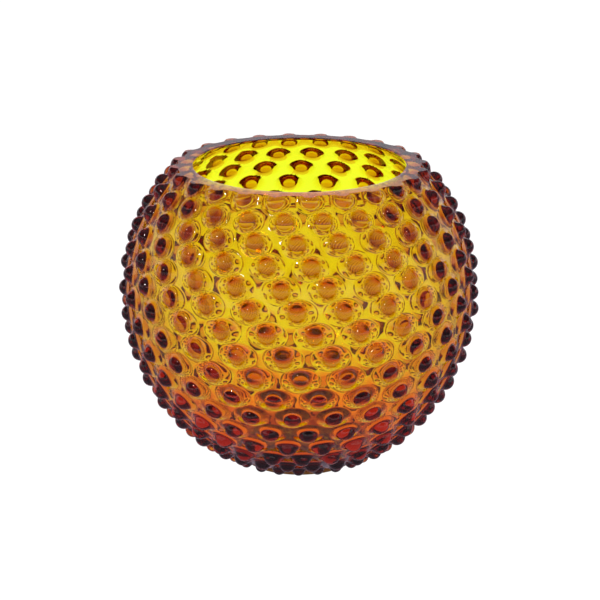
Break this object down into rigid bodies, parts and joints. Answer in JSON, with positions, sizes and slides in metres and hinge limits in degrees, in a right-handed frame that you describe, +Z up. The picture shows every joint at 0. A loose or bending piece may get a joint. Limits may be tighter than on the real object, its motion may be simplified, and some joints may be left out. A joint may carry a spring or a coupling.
{
  "type": "vase",
  "caption": "Round glass globe vase covered outside with rows of pointed hobnails, with a wide flat-ground mouth, a thick bottom and a small flat foot",
  "frame": {"origin": "middle of the flat foot, on the plane of the table it stands on", "axes": "+Z runs up the axis of the globe and out of the mouth; X and Y are level, and -Y is the side seen from the front"},
  "size_m": [0.179, 0.179, 0.1531],
  "materials": {
    "amber_glass": "clear amber glass, fire-polished, with a ground rim and foot"
  },
  "bodies": {
    "root": {"bottom_disc": "amber_glass", "globe_wall": "amber_glass", "hobnail_row_01": "amber_glass", "hobnail_row_02": "amber_glass", "hobnail_row_03": "amber_glass", "hobnail_row_04": "amber_glass", "hobnail_row_05": "amber_glass", "hobnail_row_06": "amber_glass", "hobnail_row_07": "amber_glass", "hobnail_row_08": "amber_glass", "hobnail_row_09": "amber_glass", "hobnail_row_10": "amber_glass", "hobnail_row_11": "amber_glass", "hobnail_row_12": "amber_glass", "hobnail_row_13": "amber_glass", "hobnail_row_14": "amber_glass", "hobnail_row_15": "amber_glass", "hobnail_row_16": "amber_glass"}
  },
  "joints": []
}
